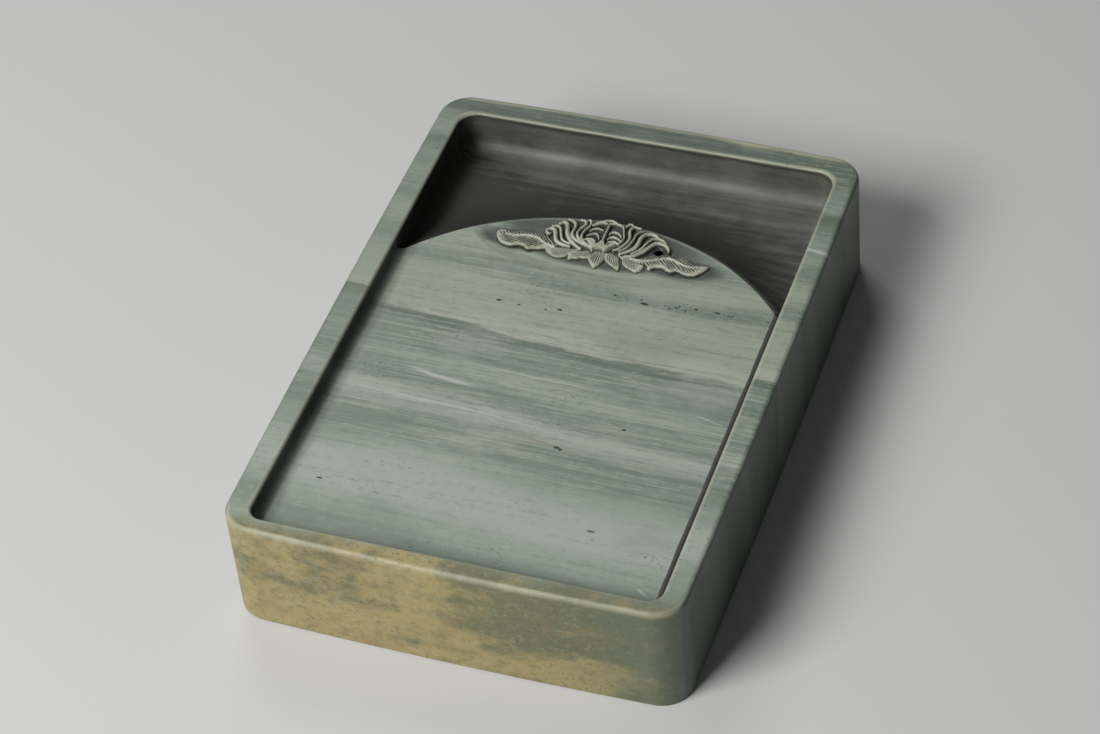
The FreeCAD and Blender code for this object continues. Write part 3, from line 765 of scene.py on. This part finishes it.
class Relief:
    """The carved surface: a height and a share of ink at each point of the drawing."""

    def __init__(self, x, y):
        self.x = x
        self.y = y
        self.height = np.full(x.shape, UNCARVED)
        self.inked = np.zeros(x.shape)

    def lay(self, height, inked):
        """Adds a form: wherever it stands highest it gives the surface its height and its ink."""
        on_top = height > self.height
        self.height = np.where(on_top, height, self.height)
        self.inked = np.where(on_top, inked, self.inked)

    def inset(self, outline):
        """Distance inside a closed outline: negative outside it."""
        line = smooth_line((*outline, outline[0]), 4)
        gap = to_line(self.x, self.y, line)[0]
        inside = np.zeros(self.x.shape, bool)
        for (ax, ay), (bx, by) in zip(line[:-1], line[1:]):
            if ay == by:
                continue
            crosses = (ay > self.y) != (by > self.y)
            inside ^= crosses & (self.x < (bx - ax) * (self.y - ay) / (by - ay) + ax)
        return np.where(inside, gap, -gap)

    def strand(self, points, half_width, root, crest, tip):
        """A rounded strand with its own heights at its root, its middle and its tip."""
        gap, along = to_line(self.x, self.y, smooth_line(points))
        width = half_width * (0.65 + 0.35 * ease(along, 0, 0.3)) * (1 - 0.3 * ease(along, 0.8, 1))
        rise = root + (crest - root) * ease(along, 0, 0.5) + (tip - crest) * ease(along, 0.6, 1)
        uneven = 0.05 * np.sin(self.x * 2.9 + self.y * 2.3) * np.sin(self.y * 3.7 - self.x * 1.3)
        rise = rise * (1 + uneven)
        round_top = np.clip(1 - (gap / width) ** 2, 0, 1) ** 0.7
        side = np.where(gap < width, rise * (0.35 + 0.65 * round_top), UNCARVED)
        self.lay(side, ease(gap / width, 0.45, 1.0) * 0.9)

    def form(self, outline, level, shoulder, inked):
        """A flat-topped form inside an outline, with rounded shoulders; it falls away outside."""
        inset = self.inset(outline)
        top = level * np.sqrt(1 - (1 - np.clip(inset / shoulder, 0, 1)) ** 2)
        self.lay(np.where(inset > 0, top, inset * OUTER_FALL), np.where(inset > 0, inked, 1.0))

    def leaf(self, outline, midrib, margin, look, lean):
        """A long leaf: a blade cut with veins, a raised midrib and a rolled lower margin."""
        inset = self.inset(outline)
        level = look.leaf_height
        rib = smooth_line(midrib)
        above = self.y > np.interp(self.x * lean, rib[:, 0] * lean, rib[:, 1])
        rib_gap = to_line(self.x, self.y, rib)[0]
        roll = to_line(self.x, self.y, smooth_line(margin))[0]
        upper = hatch(self.x, self.y, (lean * 0.66, 0.75), look.vein_pitch)
        lower = hatch(self.x, self.y, (lean * 0.74, -0.67), look.vein_pitch)
        cut = 1 - np.where(above, upper, lower)
        cut = cut * np.where(above, 1.0, ease(roll, 0.45, 1.1)) * ease(rib_gap, 0.2, 0.5)
        edge = np.sqrt(1 - (1 - np.clip(inset / 0.6, 0, 1)) ** 2)
        blade = level * edge * (1 + 0.25 * ease(rib_gap, 2.2, 0.4)) - cut * look.vein_depth
        shade = 0.34 * ease(rib_gap, 0.2, 0.9) * ease(roll, 0.9, 1.6)
        inked = np.maximum(np.maximum(cut, shade), ease(inset, 0.12, 0.0))
        self.lay(np.where(inset > 0, blade, inset * OUTER_FALL), inked)
        self.strand(margin, 0.85, level, level * 1.45, level * 1.2)
        self.strand(midrib, 0.36, level * 1.8, level * 1.8, level * 1.2)

    def low_leaf(self, outline, look):
        """A short leaf whose veins fan out from the heart and stop short of its smooth tip."""
        inset = self.inset(outline)
        reach = np.hypot(self.x, self.y)
        tip = np.hypot(*np.array(outline).T).max()
        fan = np.arctan2(self.x, -self.y) * np.clip(reach, 4.0, None)
        cut = 0.5 - 0.5 * np.cos(2 * math.pi * fan / look.vein_pitch)
        cut = ease(cut, 0.25, 0.9) * ease(tip - reach, 0.9, 2.0) * ease(inset, 0.15, 0.55)
        level = look.low_leaf_height * (1.1 - 0.3 * ease(reach, 2, tip))
        edge = np.sqrt(1 - (1 - np.clip(inset / 0.7, 0, 1)) ** 2)
        leaf = np.where(inset > 0, level * edge - cut * look.vein_depth, inset * OUTER_FALL)
        self.lay(leaf, np.maximum(cut, ease(inset, 0.15, 0.0)))


def hatch(x, y, direction, pitch):
    """Cut lines that run along a direction, 0 in the cut and 1 between cuts."""
    dx, dy = direction
    across = (x * dy - y * dx) / math.hypot(dx, dy) + 0.13 * np.sin(x * 1.4 + y * 0.9)
    return ease(0.5 + 0.5 * np.cos(2 * math.pi * across / pitch), 0.1, 0.75)


def carve(x, y, look):
    """The whole carving. Heights are in drawing units, from the floor of the field."""
    relief = Relief(x, y)
    relief.leaf(LEFT_LEAF, LEFT_MIDRIB, LEFT_MARGIN, look, -1)
    relief.leaf(RIGHT_LEAF, RIGHT_MIDRIB, RIGHT_MARGIN, look, 1)
    for outline in LOW_LEAVES:
        relief.low_leaf(outline, look)
    relief.form(FLOWER, look.cut_level, 0.4, 1.0)
    high = look.strand_height
    for points, half_width in LEFT_STRANDS + RIGHT_STRANDS:
        relief.strand(points, half_width * look.strand_width, high * 0.75, high, high * 0.85)
    relief.form(CROWN, high * 0.95, 0.5, 0.0)
    for points, half_width in POD_STRANDS:
        relief.strand(points, half_width, high * 0.92, high, high * 0.95)
    hole = np.hypot(x - CURL_HOLE[0], y - CURL_HOLE[1])
    sunk = ease(hole, CURL_HOLE_RADIUS * 0.75, CURL_HOLE_RADIUS) * high
    relief.inked = np.where((sunk < relief.height) & (hole < CURL_HOLE_RADIUS), 1.0, relief.inked)
    relief.height = np.minimum(relief.height, np.where(hole < CURL_HOLE_RADIUS, sunk, high * 2))
    return relief


def soften(grid, times):
    """Each point becomes the mean of itself and its neighbours, several times over."""
    for _ in range(times):
        padded = np.pad(grid, 1, mode="edge")
        rows = padded[:-2, 1:-1] + padded[2:, 1:-1]
        columns = padded[1:-1, :-2] + padded[1:-1, 2:]
        grid = (grid * 2 + rows + columns) / 6
    return grid


def make_lotus_mesh(look):
    """The carving as one closed solid: a fine sheet whose top is raised to the carved heights."""
    unit = look.lotus_span / DRAWING_WIDTH
    columns = int(round(DRAWING_REACH[0] * unit / look.lotus_mesh))
    rows = int(round(DRAWING_REACH[1] * unit / look.lotus_mesh))
    sheet = bmesh.new()
    bmesh.ops.create_grid(sheet, x_segments=columns, y_segments=rows, size=0.5)
    bmesh.ops.scale(sheet, vec=(*DRAWING_REACH, 1), verts=sheet.verts)
    bmesh.ops.translate(sheet, vec=(0, DRAWING_MIDDLE, 0), verts=sheet.verts)
    flat = np.array([v.co[:2] for v in sheet.verts])
    order = np.lexsort((flat[:, 0].round(4), flat[:, 1].round(4)))
    shape = (rows + 1, columns + 1)
    relief = carve(flat[order, 0].reshape(shape), flat[order, 1].reshape(shape), look)
    heights = np.empty(len(flat))
    heights[order] = soften(np.maximum(relief.height, SKIRT), 1).ravel()
    inked = np.empty(len(flat))
    inked[order] = soften(relief.inked, 1).ravel()

    level = sheet.verts.layers.float.new("level")
    mark = sheet.verts.layers.float.new("inked")
    sheet.verts.index_update()
    for vert in sheet.verts:
        vert.co.z = SKIRT - SKIRT_THICKNESS
        vert[level] = heights[vert.index]
        vert[mark] = inked[vert.index]
    outside = [f for f in sheet.faces if all(v[level] < SKIRT * 0.8 for v in f.verts)]
    bmesh.ops.delete(sheet, geom=outside, context="FACES")
    raised = bmesh.ops.extrude_face_region(sheet, geom=sheet.faces[:], use_keep_orig=True)
    for item in raised["geom"]:
        if isinstance(item, bmesh.types.BMVert):
            item.co.z = item[level]
    bmesh.ops.recalc_face_normals(sheet, faces=sheet.faces)
    bmesh.ops.scale(sheet, vec=(unit, unit, unit), verts=sheet.verts)
    bmesh.ops.translate(sheet, vec=(0, look.heart_place, FIELD_LEVEL), verts=sheet.verts)
    sheet.verts.layers.float.remove(level)
    for face in sheet.faces:
        face.smooth = True
    mesh = bpy.data.meshes.new("lotus_relief")
    sheet.to_mesh(mesh)
    sheet.free()
    return mesh


# ---------------------------------------------------------------- settings


def colour_setting(name, description, default):
    return FloatVectorProperty(
        name=name, description=description, subtype="COLOR", size=3, min=0, max=1, default=default
    )


def length_setting(name, description, default):
    return FloatProperty(
        name=name, description=description, unit="LENGTH", subtype="DISTANCE", default=default
    )


def angle_setting(name, description, degrees):
    return FloatProperty(
        name=name, description=description, subtype="ANGLE", default=math.radians(degrees)
    )


def number_setting(name, description, default):
    return FloatProperty(name=name, description=description, default=default)


class StoneLook(bpy.types.PropertyGroup):
    grey: colour_setting("Grey green", "Main grey-green beds", (0.245, 0.300, 0.238))
    pale: colour_setting("Pale green", "Palest beds and patches", (0.325, 0.368, 0.312))
    dark: colour_setting("Dark green", "Darker blue-green beds", (0.172, 0.220, 0.170))
    # Deep green: the darkest thin beds, also the colour of the painted shade on the front face and the
    # painted shadow by the front wall.
    deep_green_and_shade: colour_setting("Deep green", "Darkest thin beds", (0.098, 0.138, 0.100))
    olive: colour_setting("Olive", "Yellower beds towards the well", (0.288, 0.328, 0.255))
    cream: colour_setting("Cream", "Warm pale bed across the middle", (0.350, 0.378, 0.302))
    vein: colour_setting("Vein", "Thin pale veins", (0.47, 0.50, 0.43))
    ochre: colour_setting("Ochre", "Weathered skin on the front face", (0.375, 0.302, 0.128))
    rust: colour_setting("Rust", "Browner patches of the skin", (0.270, 0.195, 0.085))
    skin_green: colour_setting("Skin green", "Green clouds in the skin", (0.165, 0.162, 0.082))
    # Worn edge: rubbed edges and the pale skin at the back, also the colour of the painted highlight on the
    # rim's edges and the crest.
    worn_and_highlight: colour_setting("Worn edge", "Rubbed, rounded edges of the rim", (0.46, 0.45, 0.32))
    # Painted shade on the long sides; the back rim is darkened with it too.
    shade: colour_setting("Shade", "Darker stone of the long sides", (0.070, 0.088, 0.066))
    wash: colour_setting("Wash", "Grey-brown film of old ink all over the well", (0.205, 0.202, 0.165))
    # Residue: ink residue along the left wall, with the painted shadow of the left rim.
    residue_and_shadow: colour_setting("Residue", "Brown-grey ink residue along the walls", (0.085, 0.080, 0.062))
    ink: colour_setting("Ink", "Dried ink in the well and the cuts", (0.020, 0.021, 0.017))
    pit: colour_setting("Pit", "Small dark pits", (0.030, 0.040, 0.028))


class LotusLook(bpy.types.PropertyGroup):
    lotus_span: length_setting("Span", "Leaf tip to leaf tip", 70 * MM)
    lotus_mesh: length_setting("Mesh size", "Spacing of the carved surface's points", 0.15 * MM)
    heart_place: length_setting("Heart", "How far the flower's heart is from the middle", 44.3 * MM)
    strand_width: number_setting("Strand width", "Compared with the drawing", 1.25)
    strand_height: number_setting("Strands", "Height in drawing units", 1.75)
    leaf_height: number_setting("Leaves", "Height in drawing units", 0.8)
    low_leaf_height: number_setting("Low leaves", "Height in drawing units", 1.1)
    cut_level: number_setting("Cuts", "Floor of the cuts in drawing units", 0.35)
    vein_depth: number_setting("Veins", "Depth in drawing units", 0.27)
    vein_pitch: number_setting("Vein pitch", "Spacing in drawing units", 0.72)
    ridge: colour_setting("Ridge", "Worn ridges", (0.425, 0.432, 0.345))
    olive: colour_setting("Olive", "Greener stone between", (0.30, 0.325, 0.235))
    ink: colour_setting("Ink", "Dried ink in the cuts", (0.012, 0.013, 0.010))


class StudioLook(bpy.types.PropertyGroup):
    lens: number_setting("Lens", "Focal length in mm", 109.2)
    azimuth: angle_setting("Azimuth", "Direction of view, to the right of the front", 23.12)
    elevation: angle_setting("Elevation", "Height of view above the floor", 44.73)
    roll: angle_setting("Roll", "Tilt of the picture", -5.9)
    distance: length_setting("Distance", "From the camera to what it looks at", 1026.7 * MM)
    floor: colour_setting("Floor", "Plain pale floor", (0.60, 0.60, 0.59))
    floor_size: length_setting("Floor size", "Side of the floor", 8.0)
    key_power: number_setting("Key light", "Power of the front left light, in watts", 23.5)
    back_power: number_setting("Back light", "Power of the back left light, in watts", 5.0)
    air: number_setting("Air light", "Strength of the even light", 0.07)


# ---------------------------------------------------------------- operators


def dress(obj, material):
    obj.data.materials.clear()
    obj.data.materials.append(material)


class INKSTONE_OT_block(bpy.types.Operator):
    """Finish the stone block"""

    bl_idname = "inkstone.block"
    bl_label = "Stone block"

    def execute(self, context):
        dress(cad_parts[BLOCK], make_block_material(context.scene.inkstone_stone))
        return {"FINISHED"}


class INKSTONE_OT_lotus(bpy.types.Operator):
    """Carve the lotus on the bank"""

    bl_idname = "inkstone.lotus"
    bl_label = "Carved lotus"

    def execute(self, context):
        look = context.scene.inkstone_lotus
        relief = bpy.data.objects.new("lotus_relief", make_lotus_mesh(look))
        context.scene.collection.objects.link(relief)
        dress(relief, make_lotus_material(look))
        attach(relief, "root")
        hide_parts(LOTUS)
        return {"FINISHED"}


def add_lamp(name, place, size, power):
    """A soft square light that faces the object."""
    lamp = bpy.data.lights.new(name, "AREA")
    lamp.shape = "SQUARE"
    lamp.size = size
    lamp.energy = power
    holder = bpy.data.objects.new(name, lamp)
    holder.location = place
    holder.rotation_euler = (-Vector(place)).to_track_quat("-Z", "Y").to_euler()
    bpy.context.scene.collection.objects.link(holder)


def add_floor(look):
    plane = bmesh.new()
    bmesh.ops.create_grid(plane, x_segments=1, y_segments=1, size=look.floor_size / 2)
    mesh = bpy.data.meshes.new("floor")
    plane.to_mesh(mesh)
    plane.free()
    floor = bpy.data.objects.new("floor", mesh)
    bpy.context.scene.collection.objects.link(floor)
    paint = Paint("pale_floor")
    fibres = paint.grain(paint.place(), "floor_fibres")
    tone = paint.mix(fibres, tuple(look.floor), tuple(c * 1.05 for c in look.floor))
    dress(floor, paint.finish(tone, 0.85, paint.bump(fibres, 0.1, 0.1 * MM), specular=0.2, ior=1.4))


def add_camera(look):
    """A long-lens camera that looks down at the stone from the front right."""
    turn_out, rise = look.azimuth, look.elevation
    back = Vector((math.sin(turn_out), -math.cos(turn_out), math.tan(rise))).normalized()
    target = Vector(CAMERA_TARGET)
    lens = bpy.data.cameras.new("camera")
    lens.lens = look.lens
    lens.sensor_width = SENSOR_WIDTH
    camera = bpy.data.objects.new("camera", lens)
    aim = (-back).to_track_quat("-Z", "Y").to_matrix().to_4x4()
    place = Matrix.Translation(target + back * look.distance)
    camera.matrix_world = place @ aim @ Matrix.Rotation(look.roll, 4, "Z")
    bpy.context.scene.collection.objects.link(camera)
    bpy.context.scene.camera = camera


class INKSTONE_OT_stage(bpy.types.Operator):
    """Set up the floor, the lights and the camera"""

    bl_idname = "inkstone.stage"
    bl_label = "Stage"

    def execute(self, context):
        look = context.scene.inkstone_studio
        add_floor(look)
        add_camera(look)
        add_lamp("key_light", place=(-0.58, -0.95, 1.05), size=0.7, power=look.key_power)
        add_lamp("back_light", place=(-0.6, 0.9, 1.3), size=0.6, power=look.back_power)
        world = bpy.data.worlds.new("studio_air")
        world.use_nodes = True
        air = world.node_tree.nodes["Background"]
        air.inputs["Color"].default_value = AIR_COLOUR
        air.inputs["Strength"].default_value = look.air
        context.scene.world = world
        context.scene.view_settings.view_transform = "Standard"
        return {"FINISHED"}


class INKSTONE_PT_panel(bpy.types.Panel):
    bl_label = "Inkstone"
    bl_idname = "INKSTONE_PT_panel"
    bl_space_type = "VIEW_3D"
    bl_region_type = "UI"
    bl_category = "Inkstone"

    def draw(self, context):
        for operator, settings in (
            (INKSTONE_OT_block, context.scene.inkstone_stone),
            (INKSTONE_OT_lotus, context.scene.inkstone_lotus),
            (INKSTONE_OT_stage, context.scene.inkstone_studio),
        ):
            box = self.layout.box()
            box.operator(operator.bl_idname)
            for name in settings.__annotations__:
                box.prop(settings, name)


CLASSES = (
    StoneLook,
    LotusLook,
    StudioLook,
    INKSTONE_OT_block,
    INKSTONE_OT_lotus,
    INKSTONE_OT_stage,
    INKSTONE_PT_panel,
)


def register():
    for cls in CLASSES:
        bpy.utils.register_class(cls)
    bpy.types.Scene.inkstone_stone = PointerProperty(type=StoneLook)
    bpy.types.Scene.inkstone_lotus = PointerProperty(type=LotusLook)
    bpy.types.Scene.inkstone_studio = PointerProperty(type=StudioLook)


def unregister():
    del bpy.types.Scene.inkstone_studio
    del bpy.types.Scene.inkstone_lotus
    del bpy.types.Scene.inkstone_stone
    for cls in reversed(CLASSES):
        bpy.utils.unregister_class(cls)


def main():
    register()
    bpy.ops.inkstone.block()
    bpy.ops.inkstone.lotus()
    bpy.ops.inkstone.stage()


if __name__ == "__main__":
    main()
